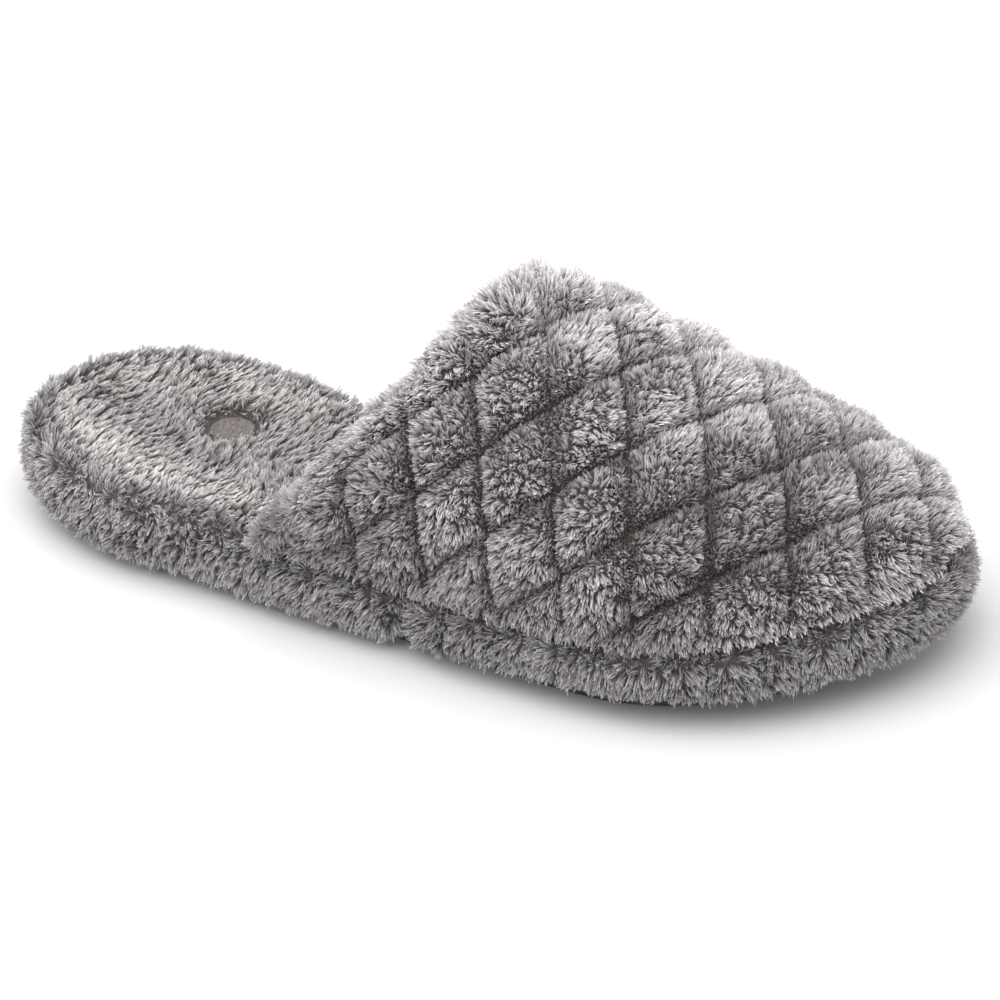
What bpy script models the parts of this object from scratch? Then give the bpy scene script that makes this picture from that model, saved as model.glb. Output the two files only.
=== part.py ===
"""Quilted plush clog slipper for the right foot, open at the heel, at its real size.

Metres, +Z up, toe towards +X, big toe (medial) side towards +Y, floor at Z = 0.
Every size is over the pile, because the pile is the surface that a hand or a box meets.
"""
import math

import bmesh
import bpy
import numpy as np


def table(columns, *rows):
    return {name: np.array(values) for name, values in zip(columns, zip(*rows))}


# Driving sizes
GAP = 0.0003              # clearance between pieces that touch
LENGTH = 0.268            # heel to toe
PLATFORM = 0.025          # thickness of the plush platform under the heel
SEAM_LEVEL = 0.0211       # height on the platform where the vamp is sewn to its wrap
TOE_TIP_SIDE = 0.0105     # how far the toe tip lies towards the medial side
TOE_SPRING = 0.0086       # rise of the sole at the toe tip
TOE_SPRING_START = 0.035
HEEL_SPRING = 0.0026      # rise of the sole at the back of the heel
HEEL_SPRING_START = -0.085

# Plan of the platform: half widths each side of the last's axis, by share of the length
SOLE_PLAN = table(
    ("station", "medial", "lateral"),
    (0.02, 0.0166, 0.0164),
    (0.07, 0.0311, 0.0306),
    (0.16, 0.0406, 0.0410),
    (0.28, 0.0370, 0.0435),
    (0.40, 0.0354, 0.0471),
    (0.52, 0.0408, 0.0499),
    (0.64, 0.0486, 0.0526),
    (0.75, 0.0540, 0.0528),
    (0.85, 0.0528, 0.0433),
    (0.93, 0.0450, 0.0260),
    (0.98, 0.0315, 0.0081),
)

# Outsole
OUTSOLE_THICKNESS = 0.004
OUTSOLE_BEVEL = 0.001
ARCH_RELIEF = 0.0018      # hollow under the arch, between the heel and the ball
ARCH_BACK = -0.045
ARCH_FRONT = 0.005

# Plush wraps round the platform
WRAP_THICKNESS = 0.0085
WRAP_HEM = 0.003          # lower edge of the pile over the floor
WRAP_JOIN = 0.003         # where the heel wrap and the toe wrap meet, on both sides
JOIN_PINCH = 0.0018
WRAP_SIDE = table(
    ("level", "inset"),
    (0.00, WRAP_THICKNESS),
    (0.00, 0.0042),
    (0.12, 0.0012),
    (0.42, 0.0000),
    (0.72, 0.0003),
    (0.92, 0.0024),
    (1.00, 0.0052),
    (1.00, WRAP_THICKNESS),
)

# Footbed and the round patch in its heel seat
FOOTBED_CROWN = 0.0245    # pile level along the middle of the foot
HEEL_DISH = 0.0015
FOOTBED_SHOULDER = 0.0045  # width of its rounded edge
PATCH_CENTRE = (-0.0748, 0.0053)
PATCH_RADIUS = 0.0062
PATCH_THICKNESS = 0.0014
PATCH_FLOOR = 0.0200      # bottom of the pit that the patch lies in
PIT_RADIUS = 0.0076

# Vamp: two faces of one padded wall, sewn thin at the seam and thicker above it
PILE_FACE = dict(inset=0.0032, swell=0.0030, drop=0.0, toe_round=0.025)
LINING_FACE = dict(inset=0.0088, swell=-0.0035, drop=0.0085, toe_round=0.021)
INSTEP = table(
    ("behind_toe", "rise"),
    (0.000, 0.0180),
    (0.025, 0.0265),
    (0.045, 0.0366),
    (0.075, 0.0525),
    (0.095, 0.0622),
    (0.110, 0.0666),
    (0.130, 0.0690),
    (0.180, 0.0720),
)
FULLNESS = 1.9            # 2 is an elliptical section, more is squarer
RIDGE_LEAN = 0.007        # the ridge lies towards the medial side
RIDGE_LEAN_RUN = 0.060
COLLAR_APEX = 0.0142      # collar edge on the ridge
COLLAR_CORNER = -0.0413   # collar edge at the seam
COLLAR_CURVE = 1.24
PEAK_BACK = 0.0055        # how far the collar's top reaches back, a little to the lateral side of the ridge
PEAK_TURN = math.radians(78)
PEAK_SPAN = math.radians(22)
WING_RUN = 0.026          # behind the corner, where the platform's edge begins to dip under the vamp
WING_CLEAR = 0.004        # and where it is down
COLLAR_ROLL = 0.0038      # radius that rounds the collar edge, each face
COLLAR_ROLL_SHARE = 0.032  # the same as a share of the way from toe to collar
TOE_CROWDING = 1.4

# Diamond quilting of the vamp, charted along the ridge and across from it
QUILT_LENGTH = 0.02104
QUILT_ACROSS = 0.03907
QUILT_AXIS = -0.0141      # the pattern's own middle line, from the ridge
QUILT_SWEEP = 0.439       # how far the rows sweep back down the sides
QUILT_SWEEP_RADIUS = 0.060
QUILT_PHASE = (0.930, 0.938)
PUFF = 0.0038             # crest of a diamond over its grooves
PUFF_CREST = 0.0015       # part of it that stands over the mean surface
GROOVE_WIDTH = 0.0058     # from the bottom of a groove to the round of the puff
PUFF_FADE = 0.009         # plain strip along the collar

# Mesh counts
HEEL_STATIONS = 20        # from the heel to a wrap join, each side
TOE_STATIONS = 20         # from a wrap join to the toe, each side
STATIONS = HEEL_STATIONS + TOE_STATIONS
VAMP_ROWS = 46            # from the toe to the roll of the collar
COLLAR_ROWS = 4           # round the roll
VAMP_COLUMNS = 64
SPLINE_STEPS = 40
FOOTBED_COLUMNS = 4
PATCH_SIDES = 28
SHARP_ANGLE = math.radians(40)

MEDIAL_JOIN = 2 * STATIONS - HEEL_STATIONS


# Curves
def smooth(knots, values, at):
    """Cubic through the given values, with the slopes of their neighbours."""
    slopes = np.gradient(values, knots, axis=0)
    span = np.clip(np.searchsorted(knots, at, side="right") - 1, 0, len(knots) - 2)
    width = knots[span + 1] - knots[span]
    share = np.clip((at - knots[span]) / width, 0.0, 1.0)
    if values.ndim > 1:
        width = width[:, None]
        share = share[:, None]
    rest = 1.0 - share
    return (
        values[span] * rest**2 * (1.0 + 2.0 * share)
        + values[span + 1] * share**2 * (1.0 + 2.0 * rest)
        + width * share * rest * (slopes[span] * rest - slopes[span + 1] * share)
    )


def ease(low, high, at):
    share = np.clip((at - low) / (high - low), 0.0, 1.0)
    return share**2 * (3.0 - 2.0 * share)


def unit(vectors):
    return vectors / np.linalg.norm(vectors, axis=-1, keepdims=True)


# Platform
def sole_curve():
    """Dense closed outline of the platform with its outward normals, box centred on the origin."""
    along = (SOLE_PLAN["station"] - 0.5) * LENGTH
    lateral = np.c_[along, -SOLE_PLAN["lateral"]]
    medial = np.c_[along, SOLE_PLAN["medial"]][::-1]
    heel = [(-0.5 * LENGTH, 0.0)]
    toe = [(0.5 * LENGTH, TOE_TIP_SIDE)]
    loop = np.vstack([heel, lateral, toe, medial])
    wrapped = np.vstack([loop[-3:], loop, loop[:4]])
    chords = np.linalg.norm(np.diff(wrapped, axis=0), axis=1)
    knots = np.r_[0.0, np.cumsum(np.sqrt(chords))]
    at = np.linspace(knots[3], knots[3 + len(loop)], len(loop) * SPLINE_STEPS, endpoint=False)
    points = smooth(knots, wrapped, at)
    points -= 0.5 * (points.max(axis=0) + points.min(axis=0))
    tangent = unit(np.roll(points, -1, axis=0) - np.roll(points, 1, axis=0))
    normal = np.c_[tangent[:, 1], -tangent[:, 0]]
    start = points[:, 0].argmin()
    return np.roll(points, -start, axis=0), np.roll(normal, -start, axis=0)


CURVE, CURVE_NORMAL = sole_curve()


def stations():
    """Outline stations and normals: heel, lateral join, toe, medial join, each an exact station."""
    arc = np.r_[0.0, np.cumsum(np.linalg.norm(np.diff(CURVE, axis=0), axis=1))]
    toe = CURVE[:, 0].argmax()
    joins = np.abs(CURVE[:, 0] - WRAP_JOIN)
    lateral = joins[:toe].argmin()
    medial = toe + joins[toe:].argmin()
    closing = arc[-1] + np.linalg.norm(CURVE[0] - CURVE[-1])
    stops = (0.0, arc[lateral], arc[toe], arc[medial], closing)
    counts = (HEEL_STATIONS, TOE_STATIONS, TOE_STATIONS, HEEL_STATIONS)
    at = np.concatenate([
        np.linspace(low, high, count, endpoint=False)
        for low, high, count in zip(stops, stops[1:], counts)
    ])
    arc = np.r_[arc, closing]
    point = [np.interp(at, arc, np.r_[CURVE[:, axis], CURVE[0, axis]]) for axis in (0, 1)]
    normal = [np.interp(at, arc, np.r_[CURVE_NORMAL[:, axis], CURVE_NORMAL[0, axis]]) for axis in (0, 1)]
    return np.stack(point, axis=1), unit(np.stack(normal, axis=1))


STATION, STATION_NORMAL = stations()


def lift(x):
    """Height of the sole's lower line over the floor: toe spring and heel spring."""
    toe_share = np.clip((x - TOE_SPRING_START) / (0.5 * LENGTH - TOE_SPRING_START), 0.0, None)
    heel_share = np.clip((HEEL_SPRING_START - x) / (HEEL_SPRING_START + 0.5 * LENGTH), 0.0, None)
    return TOE_SPRING * toe_share**2 + HEEL_SPRING * heel_share**2


def open_heel(x):
    """1 along the open heel, 0 where the vamp stands on the platform."""
    return 1.0 - ease(COLLAR_CORNER - WING_RUN, COLLAR_CORNER - WING_CLEAR, x)


def ring(inset, height):
    """One station ring, inset from the pile's edge; height is over the sole's lower line."""
    plan = STATION - STATION_NORMAL * inset
    return np.c_[plan, lift(plan[:, 0]) + height(plan[:, 0])]


# Meshes
def finish(name, colour, roughness):
    material = bpy.data.materials.new(name)
    material.use_nodes = True
    shader = material.node_tree.nodes["Principled BSDF"]
    shader.inputs["Base Color"].default_value = (*colour, 1.0)
    shader.inputs["Roughness"].default_value = roughness
    shader.inputs["Metallic"].default_value = 0.0
    return material


def solid(name, points, faces, material):
    """A closed body from its points and faces, turned outwards and shaded smooth."""
    mesh = bpy.data.meshes.new(name)
    mesh.from_pydata([tuple(point) for point in points], [], faces)
    body = bmesh.new()
    body.from_mesh(mesh)
    bmesh.ops.recalc_face_normals(body, faces=body.faces)
    body.to_mesh(mesh)
    body.free()
    mesh.materials.append(material)
    mesh.shade_smooth()
    mesh.set_sharp_from_angle(angle=SHARP_ANGLE)
    piece = bpy.data.objects.new(name, mesh)
    bpy.context.collection.objects.link(piece)
    return piece


def wall_faces(lower, upper, count):
    """Quads between two closed rings that start at the given point numbers."""
    faces = []
    for i in range(count):
        j = (i + 1) % count
        faces.append((lower + i, lower + j, upper + j, upper + i))
    return faces


def ladder_cap(rim, first, columns, sag):
    """A cap across a station ring, in strips from the lateral to the medial side.

    sag lowers its inner points; gives the new points and the faces, the rim starting at first."""
    count = len(rim)
    shares = np.linspace(0.0, 1.0, columns + 1)[1:-1]
    new_points = []
    rows = []
    for i in range(1, STATIONS):
        across = [first + i]
        for share in shares:
            point = rim[i] * (1.0 - share) + rim[count - i] * share
            point[2] -= sag(point[0]) * 4.0 * share * (1.0 - share)
            across.append(first + count + len(new_points))
            new_points.append(point)
        rows.append(across + [first + count - i])
    faces = []
    for j in range(columns):
        faces.append((first, rows[0][j], rows[0][j + 1]))
        faces.append((first + STATIONS, rows[-1][j + 1], rows[-1][j]))
        for back, front in zip(rows, rows[1:]):
            faces.append((back[j], front[j], front[j + 1], back[j + 1]))
    return new_points, faces


def lofted(name, rings, material, top_columns=1, sag=lambda x: 0.0 * x):
    """A solid through stacked station rings, lowest first, capped at both ends."""
    count = len(STATION)
    points = []
    faces = []
    bottom_faces = ladder_cap(rings[0], 0, 1, sag)[1]
    faces.extend(face[::-1] for face in bottom_faces)
    for level, one in enumerate(rings):
        points.extend(one)
        if level:
            faces.extend(wall_faces((level - 1) * count, level * count, count))
    top_points, top_faces = ladder_cap(rings[-1], (len(rings) - 1) * count, top_columns, sag)
    points.extend(top_points)
    faces.extend(top_faces)
    return solid(name, points, faces, material)


# Pieces
def build_outsole():
    """Thin rubber plate: flat under the heel and the ball, hollow under the arch, raised at the toe."""
    inset = WRAP_THICKNESS + GAP

    def arch(x):
        share = np.clip((x - ARCH_BACK) / (ARCH_FRONT - ARCH_BACK), 0.0, 1.0)
        return ARCH_RELIEF * np.sin(math.pi * share) ** 2

    rings = [
        ring(inset + OUTSOLE_BEVEL, arch),
        ring(inset, lambda x: arch(x) + OUTSOLE_BEVEL),
        ring(inset, lambda x: 0.0 * x + OUTSOLE_THICKNESS),
    ]
    lofted("outsole", rings, finish("moulded_rubber", (0.035, 0.033, 0.033), 0.7))


def footbed_rings():
    """Foot of the foam, edge of the pile (lower where the vamp is sewn on), and the round of its top."""
    inset = WRAP_THICKNESS + GAP
    edge_front = SEAM_LEVEL - GAP

    def edge(x):
        return edge_front + (PLATFORM - edge_front) * open_heel(x)

    return [
        ring(inset, lambda x: 0.0 * x + OUTSOLE_THICKNESS + GAP),
        ring(inset, edge),
        ring(inset + FOOTBED_SHOULDER, lambda x: 0.0 * x + FOOTBED_CROWN),
    ]


def build_footbed():
    """Foam and plush insole that fills the platform inside the wraps, with the pit of its patch."""
    footbed = lofted(
        "footbed",
        footbed_rings(),
        finish("insole_plush", (0.33, 0.30, 0.30), 0.95),
        FOOTBED_COLUMNS,
        lambda x: HEEL_DISH * ease(-0.5 * LENGTH, HEEL_SPRING_START, x),
    )
    mesh = bpy.data.meshes.new("patch_pit")
    body = bmesh.new()
    depth = 2.0 * (PLATFORM - PATCH_FLOOR)
    bmesh.ops.create_cone(
        body, cap_ends=True, segments=PATCH_SIDES, radius1=PIT_RADIUS, radius2=PIT_RADIUS, depth=depth
    )
    body.to_mesh(mesh)
    body.free()
    cutter = bpy.data.objects.new("patch_pit", mesh)
    bpy.context.collection.objects.link(cutter)
    cutter.location = (*PATCH_CENTRE, PATCH_FLOOR + 0.5 * depth)
    cutter.hide_render = True
    cutter.display_type = "WIRE"
    pit = footbed.modifiers.new("patch_pit", "BOOLEAN")
    pit.operation = "DIFFERENCE"
    pit.solver = "EXACT"
    pit.object = cutter


def build_heel_patch():
    """Plain round disc with a softened rim, at the bottom of its pit."""
    turn = np.linspace(0.0, 2.0 * math.pi, PATCH_SIDES, endpoint=False)
    profile = table(
        ("radius", "height"),
        (1.00, 0.00),
        (1.00, 0.55),
        (0.86, 1.00),
    )
    points = []
    faces = []
    for level, (radius, height) in enumerate(zip(profile["radius"], profile["height"])):
        x = PATCH_CENTRE[0] + PATCH_RADIUS * radius * np.cos(turn)
        y = PATCH_CENTRE[1] + PATCH_RADIUS * radius * np.sin(turn)
        z = np.full(PATCH_SIDES, PATCH_FLOOR + GAP + PATCH_THICKNESS * height)
        points.extend(np.c_[x, y, z])
        if level:
            faces.extend(wall_faces((level - 1) * PATCH_SIDES, level * PATCH_SIDES, PATCH_SIDES))
    last = len(points) - PATCH_SIDES
    faces.append(tuple(range(PATCH_SIDES))[::-1])
    faces.append(tuple(range(last, len(points))))
    solid("heel_patch", points, faces, finish("pressed_fabric", (0.24, 0.22, 0.22), 0.9))


def build_wrap(name, numbers, material):
    """A plush band swept along the given stations, closed and pinched at its two ends."""
    tangent = np.c_[-STATION_NORMAL[:, 1], STATION_NORMAL[:, 0]]
    plan = STATION[numbers].copy()
    plan[0] += 0.5 * GAP * tangent[numbers[0]]
    plan[-1] -= 0.5 * GAP * tangent[numbers[-1]]
    pinch = np.zeros(len(numbers))
    pinch[[0, -1]] = JOIN_PINCH
    sides = len(WRAP_SIDE["level"])
    points = []
    for spot, normal, extra in zip(plan, STATION_NORMAL[numbers], pinch):
        inset = np.minimum(WRAP_SIDE["inset"] + extra, WRAP_THICKNESS)
        edge = spot - normal * inset[:, None]
        top = SEAM_LEVEL - GAP + (PLATFORM - SEAM_LEVEL + GAP) * open_heel(edge[:, 0])
        height = WRAP_HEM + (top - WRAP_HEM) * WRAP_SIDE["level"]
        points.extend(np.c_[edge, lift(edge[:, 0]) + height])
    faces = []
    for i in range(len(numbers) - 1):
        faces.extend(wall_faces(i * sides, (i + 1) * sides, sides))
    faces.append(tuple(range(sides)))
    faces.append(tuple(range(len(points) - sides, len(points)))[::-1])
    solid(name, points, faces, material)


def feather_lines(inset):
    """Lateral and medial edge of the inset plan as tables over x, and the toe's x."""
    plan = CURVE - CURVE_NORMAL * inset
    heel = plan[:, 0].argmin()
    plan = np.roll(plan, -heel, axis=0)
    toe = plan[:, 0].argmax()
    lateral = plan[: toe + 1]
    medial = plan[toe:][::-1]
    return lateral, medial, plan[toe, 0]


def vamp_reach(step):
    """Shares of the way from toe to collar, crowded at the toe and round the collar's roll."""
    run = np.linspace(0.0, 1.0, VAMP_ROWS // step + 1) ** TOE_CROWDING
    turn = np.linspace(0.0, 0.5 * math.pi, COLLAR_ROWS // step + 1)[1:]
    return np.r_[run * (1.0 - COLLAR_ROLL_SHARE), 1.0 - COLLAR_ROLL_SHARE * (1.0 - np.sin(turn))]


def vamp_face(step, face):
    """Grid of one face of the vamp: rows from the toe point back to the collar, columns over the foot.

    A section is y = half * |cos|**(2/n), z = rise * sin**(2/n), from the lateral seam over the ridge
    to the medial seam; the rise follows the instep and is rounded down to the toe point."""
    lateral, medial, toe = feather_lines(face["inset"])
    turn = np.linspace(0.0, math.pi, VAMP_COLUMNS // step + 1)[None, :]
    reach = vamp_reach(step)[:, None]
    corner = COLLAR_CORNER + (COLLAR_APEX - COLLAR_CORNER) * np.sin(turn) ** COLLAR_CURVE
    corner = corner - PEAK_BACK * np.exp(-(((turn - PEAK_TURN) / PEAK_SPAN) ** 2))
    x = toe + (corner - toe) * reach
    behind = toe - x
    near = np.interp(x, lateral[:, 0], lateral[:, 1])
    far = np.interp(x, medial[:, 0], medial[:, 1])
    crown = smooth(INSTEP["behind_toe"], INSTEP["rise"], behind) - face["drop"]
    tip = 1.0 - np.clip(behind / face["toe_round"], 0.0, 1.0)
    rise = crown * np.sqrt(1.0 - tip**2)
    cosine = np.cos(turn)
    sine = np.clip(np.sin(turn), 0.0, None)
    across = np.sign(cosine) * np.abs(cosine) ** (2.0 / FULLNESS)
    swell = face["swell"] * np.sqrt(sine) * cosine * ease(0.0, face["toe_round"], behind)
    lean = RIDGE_LEAN * np.clip(behind / RIDGE_LEAN_RUN, 0.0, 1.0) * sine**2
    y = 0.5 * (near + far) - 0.5 * (far - near) * across - swell + lean
    z = lift(x) + SEAM_LEVEL + rise * sine ** (2.0 / FULLNESS)
    return np.stack([x, y, z], axis=2)


def face_normals(grid):
    """Outward normals of a vamp grid; the toe point takes the direction of the toe."""
    along = np.gradient(grid, axis=0)
    over = np.gradient(grid, axis=1)
    normal = np.cross(over, along)
    normal[0] = (1.0, 0.0, 0.0)
    return unit(normal)


def quilt(grid):
    """Relief of the diamonds: 0 along the grooves of both slants, 1 at the crests."""
    steps = np.linalg.norm(np.diff(grid, axis=1), axis=2)
    over = np.c_[np.zeros(len(grid)), np.cumsum(steps, axis=1)]
    over -= over[:, [grid.shape[1] // 2]] + QUILT_AXIS
    behind = grid[0, 0, 0] - grid[:, :, 0]
    back = behind - QUILT_SWEEP * (np.hypot(over, QUILT_SWEEP_RADIUS) - QUILT_SWEEP_RADIUS)
    row_step = QUILT_LENGTH * QUILT_ACROSS / math.hypot(QUILT_LENGTH, QUILT_ACROSS)
    relief = 1.0
    for slant, phase in zip((-1.0, 1.0), QUILT_PHASE):
        rows = back / QUILT_LENGTH + slant * over / QUILT_ACROSS - phase
        from_groove = np.abs(rows - np.round(rows)) * row_step
        relief = relief * (1.0 - np.exp(-((from_groove / GROOVE_WIDTH) ** 2)))
    return relief


def over_seam(grid):
    return grid[:, :, 2] - lift(grid[:, :, 0]) - SEAM_LEVEL


def collar_roll(grid, step):
    """How far each face turns in towards the other, a quarter circle along the collar edge."""
    share = np.clip(1.0 - (1.0 - vamp_reach(step)) / COLLAR_ROLL_SHARE, 0.0, 1.0)[:, None]
    return COLLAR_ROLL * (1.0 - np.sqrt(1.0 - share**2)) * ease(0.0, PUFF_FADE, over_seam(grid))


def edge_numbers(number, rows, columns):
    """Point numbers round a vamp grid: lateral seam, collar, medial seam, from the toe point and back."""
    lateral = [number(row, 0) for row in range(rows + 1)]
    collar = [number(rows, column) for column in range(1, columns + 1)]
    medial = [number(row, columns) for row in range(rows - 1, 0, -1)]
    return lateral + collar + medial


def grid_faces(number, rows, columns):
    """A fan at the toe point, then quads back to the collar."""
    faces = [(number(0, 0), number(1, j), number(1, j + 1)) for j in range(columns)]
    for i in range(1, rows):
        for j in range(columns):
            faces.append((number(i, j), number(i + 1, j), number(i + 1, j + 1), number(i, j + 1)))
    return faces


def build_upper():
    """Hollow vamp: quilted pile face, plain lining face, joined along the seam and round the collar."""
    pile = vamp_face(1, PILE_FACE)
    to_collar = np.linalg.norm(pile - pile[-1], axis=2)
    puff = PUFF * quilt(pile) - (PUFF - PUFF_CREST)
    puff *= ease(0.0, PUFF_FADE, to_collar) * ease(0.0, PUFF_FADE, over_seam(pile))
    pile = pile + face_normals(pile) * (puff - collar_roll(pile, 1))[:, :, None]
    lining = vamp_face(2, LINING_FACE)
    lining = lining + face_normals(lining) * collar_roll(lining, 2)[:, :, None]
    rows, columns = len(pile) - 1, VAMP_COLUMNS
    half_rows, half_columns = len(lining) - 1, VAMP_COLUMNS // 2
    points = [pile[0, 0], *pile[1:].reshape(-1, 3), lining[0, 0], *lining[1:].reshape(-1, 3)]
    lining_start = 1 + rows * (columns + 1)

    def pile_number(row, column):
        return 1 + (row - 1) * (columns + 1) + column if row else 0

    def lining_number(row, column):
        return lining_start + (1 + (row - 1) * (half_columns + 1) + column if row else 0)

    faces = grid_faces(pile_number, rows, columns)
    faces += grid_faces(lining_number, half_rows, half_columns)
    # Edge strip: two steps of the pile face to one of the lining
    pile_edge = edge_numbers(pile_number, rows, columns)
    lining_edge = edge_numbers(lining_number, half_rows, half_columns)
    for i, inner in enumerate(lining_edge):
        next_inner = lining_edge[(i + 1) % len(lining_edge)]
        first, middle, last = (pile_edge[(2 * i + step) % len(pile_edge)] for step in range(3))
        faces.append((first, middle, inner))
        faces.append((middle, last, next_inner))
        faces.append((middle, next_inner, inner))
    solid("upper", points, faces, finish("quilted_plush", (0.27, 0.25, 0.25), 0.95))


def main():
    for thing in list(bpy.data.objects):
        bpy.data.objects.remove(thing, do_unlink=True)
    build_outsole()
    build_footbed()
    build_heel_patch()
    plush = finish("wrap_plush", (0.20, 0.19, 0.19), 0.95)
    around_heel = np.arange(MEDIAL_JOIN, 2 * STATIONS + HEEL_STATIONS + 1) % (2 * STATIONS)
    build_wrap("heel_wrap", around_heel, plush)
    build_wrap("toe_wrap", np.arange(HEEL_STATIONS, MEDIAL_JOIN + 1), plush)
    build_upper()


main()
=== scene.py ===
import math

import bpy
import numpy as np
from mathutils import Matrix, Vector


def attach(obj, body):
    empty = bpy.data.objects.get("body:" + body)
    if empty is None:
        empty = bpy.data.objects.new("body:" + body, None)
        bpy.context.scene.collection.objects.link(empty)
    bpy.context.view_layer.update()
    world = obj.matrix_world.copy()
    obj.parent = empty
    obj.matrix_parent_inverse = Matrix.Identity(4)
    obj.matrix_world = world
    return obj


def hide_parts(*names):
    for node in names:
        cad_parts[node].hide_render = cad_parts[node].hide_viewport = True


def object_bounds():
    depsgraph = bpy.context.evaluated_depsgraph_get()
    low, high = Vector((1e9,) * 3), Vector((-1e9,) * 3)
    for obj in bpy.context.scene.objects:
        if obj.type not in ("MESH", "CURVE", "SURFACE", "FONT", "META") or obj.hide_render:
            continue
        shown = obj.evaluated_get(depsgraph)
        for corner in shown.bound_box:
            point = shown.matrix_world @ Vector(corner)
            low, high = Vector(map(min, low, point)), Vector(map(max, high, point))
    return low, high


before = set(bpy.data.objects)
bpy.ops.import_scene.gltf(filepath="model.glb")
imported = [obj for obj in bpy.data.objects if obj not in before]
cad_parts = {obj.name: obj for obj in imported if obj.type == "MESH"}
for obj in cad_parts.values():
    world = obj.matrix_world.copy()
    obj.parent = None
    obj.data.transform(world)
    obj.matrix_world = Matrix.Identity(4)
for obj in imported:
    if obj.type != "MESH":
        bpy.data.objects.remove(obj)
cadLow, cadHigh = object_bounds()

# the shoe's own sizes in metres: toe +X, big-toe side +Y, floor at z = 0
shoe = {
    "length": cadHigh.x - cadLow.x,
    "platform": 0.025,
    "seamLevel": 0.0211,  # where the vamp is sewn to its wrap
    "toeTipSide": 0.0105,
    "toeSpring": 0.0086, "toeSpringStart": 0.035,
    "heelSpring": 0.0026, "heelSpringStart": -0.085,
    "backRise": 0.0018, "backRiseAlong": (-0.110, -0.075), "backRiseSide": 0.020,
    "wrapThickness": 0.0085, "wrapJoin": 0.003,
    "gap": 0.0003,  # clearance between pieces that touch
    "collarCorner": -0.0413, "collarApex": 0.0142, "collarCurve": 1.24,
    "peakBack": 0.0055, "peakTurn": math.radians(78), "peakSpan": math.radians(22),
    "wingRun": 0.026,  # behind the corner, where the platform's edge begins to dip under the vamp
    "wingClear": 0.004,  # and where it is down
}
platformInset = shoe["wrapThickness"] + shoe["gap"]  # outsole and footbed lie inside the wraps

# half widths of the platform each side of the last's axis, by share of the length
solePlan = {
    "station": np.array([0.02, 0.07, 0.16, 0.28, 0.40, 0.52, 0.64, 0.75, 0.85, 0.93, 0.98]),
    "medial": np.array([16.6, 31.1, 40.6, 37.0, 35.4, 40.8, 48.6, 54.0, 52.8, 45.0, 31.5]) / 1000,
    "lateral": np.array([16.4, 30.6, 41.0, 43.5, 47.1, 49.9, 52.6, 52.8, 43.3, 26.0, 8.1]) / 1000,
}
outlineSteps = 40  # points between two stations

# rise of the ridge over the seam, by distance behind the toe
instep = {
    "behindToe": np.array([0, 25, 45, 75, 95, 110, 130, 180]) / 1000,
    "rise": np.array([18.0, 26.5, 36.6, 52.5, 62.2, 66.6, 69.0, 72.0]) / 1000,
}


# curves and directions

# cubic through values at knots, each slope taken from its neighbours
def smoothCurve(knots, values, at):
    slopes = np.gradient(values, knots, axis=0)
    span = np.clip(np.searchsorted(knots, at, side="right") - 1, 0, len(knots) - 2)
    width = knots[span + 1] - knots[span]
    share = np.clip((at - knots[span]) / width, 0, 1)
    if values.ndim > 1:
        width, share = width[..., None], share[..., None]
    rest = 1 - share
    ends = values[span] * rest**2 * (1 + 2 * share) + values[span + 1] * share**2 * (1 + 2 * rest)
    return ends + width * share * rest * (slopes[span] * rest - slopes[span + 1] * share)


# 0 below low, 1 above high, 3s^2 - 2s^3 between
def ease(low, high, at):
    share = np.clip((at - low) / (high - low), 0, 1)
    return share * share * (3 - 2 * share)


# bell curve: 1 at zero, 1/e one width away
def bell(at, width):
    return np.exp(-((at / width) ** 2))


def unit(vectors):
    return vectors / np.maximum(np.linalg.norm(vectors, axis=-1, keepdims=True), 1e-12)


# part of a direction that lies in the surface: v - n (v.n)
def alongSurface(vectors, normals):
    return vectors - normals * (vectors * normals).sum(axis=-1, keepdims=True)


# normals of a grid: the direction over its columns crossed with the direction along its rows
def gridNormals(points):
    return unit(np.cross(np.gradient(points, axis=1), np.gradient(points, axis=0)))


# slow swirl of directions: sines along a few random waves, about `wave` metres long
def swirl(points, wave, rng):
    count = 6
    usualLength = 1.7  # of three random numbers taken as a vector
    waves = rng.normal(0, 1, (count, 3)) * 2 * math.pi / wave / usualLength
    phase = rng.uniform(0, 2 * math.pi, (count, 3))
    ways = rng.normal(0, 1, (count, 3))
    angle = np.einsum("...k,wk->...w", points, waves)
    return np.einsum("...wc,wc->...c", np.sin(angle[..., None] + phase), ways) / math.sqrt(count)


towardsFloor = np.array([0, 0, -1.0])
towardsHeel = np.array([-1.0, 0, 0])


# plan and heights of the sole

# closed plan outline of the platform: spline round heel, lateral side, toe and medial side
def soleOutline():
    along = (solePlan["station"] - 0.5) * shoe["length"]
    lateral = np.c_[along, -solePlan["lateral"]]
    medial = np.c_[along, solePlan["medial"]][::-1]
    heel = [(-0.5 * shoe["length"], 0)]
    toe = [(0.5 * shoe["length"], shoe["toeTipSide"])]
    loop = np.vstack([heel, lateral, toe, medial])
    lead = 3  # stations repeated before the heel, so that the spline closes smoothly
    wrapped = np.vstack([loop[-lead:], loop, loop[: lead + 1]])
    chords = np.linalg.norm(np.diff(wrapped, axis=0), axis=1)
    knots = np.r_[0, np.cumsum(np.sqrt(chords))]
    at = np.linspace(knots[lead], knots[lead + len(loop)], len(loop) * outlineSteps, endpoint=False)
    points = smoothCurve(knots, wrapped, at)
    points -= 0.5 * (points.max(axis=0) + points.min(axis=0))
    tangent = unit(np.roll(points, -1, axis=0) - np.roll(points, 1, axis=0))
    normal = np.c_[tangent[:, 1], -tangent[:, 0]]
    start = points[:, 0].argmin()
    return np.roll(points, -start, axis=0), np.roll(normal, -start, axis=0)


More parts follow.
